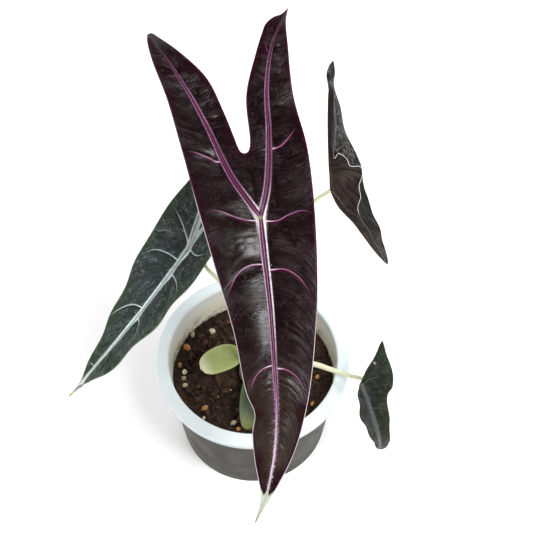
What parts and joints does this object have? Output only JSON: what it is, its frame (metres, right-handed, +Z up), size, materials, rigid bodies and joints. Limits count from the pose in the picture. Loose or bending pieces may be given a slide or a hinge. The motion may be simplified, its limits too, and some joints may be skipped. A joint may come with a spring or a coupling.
{
  "type": "potted black cobra alocasia",
  "caption": "Small potted aroid with long arrow-shaped purple-black leaves on thin stalks, a pale scale leaf and a short young leaf, in a round plastic pot filled with coarse mix.",
  "frame": {"origin": "Centre of the pot's flat underside, on the surface that the pot stands on.", "axes": "+Z up out of the pot, the large front leaf points towards -Y, and the low small leaf hangs at +X."},
  "size_m": [0.1868, 0.2282, 0.2948],
  "materials": {
    "pot_plastic": "smooth matte moulded plastic",
    "mix": "rough damp bark and peat with pale mineral granules",
    "crown": "fibrous plant stem",
    "blade_dark": "leathery leaf, satin, purple-black with pink ribs",
    "blade_green": "leathery leaf, satin, dark green with silver ribs",
    "blade_brown": "leathery leaf, satin, brown-purple underside",
    "blade_small": "leathery leaf, satin, dark green",
    "stalk_dark": "smooth plant stalk",
    "stalk_pale": "smooth plant stalk",
    "scale_leaf": "smooth pale green scale leaf",
    "young_leaf": "smooth dark green young leaf"
  },
  "bodies": {
    "root": {"pot": "pot_plastic", "potting_mix": "mix", "crown": "crown", "blade_front": "blade_dark", "petiole_front": "stalk_dark", "blade_left": "blade_green", "petiole_left": "stalk_pale", "blade_right": "blade_brown", "petiole_right": "stalk_pale", "blade_low": "blade_small", "petiole_low": "stalk_pale", "cataphyll": "scale_leaf", "young_leaf": "young_leaf"}
  },
  "joints": []
}
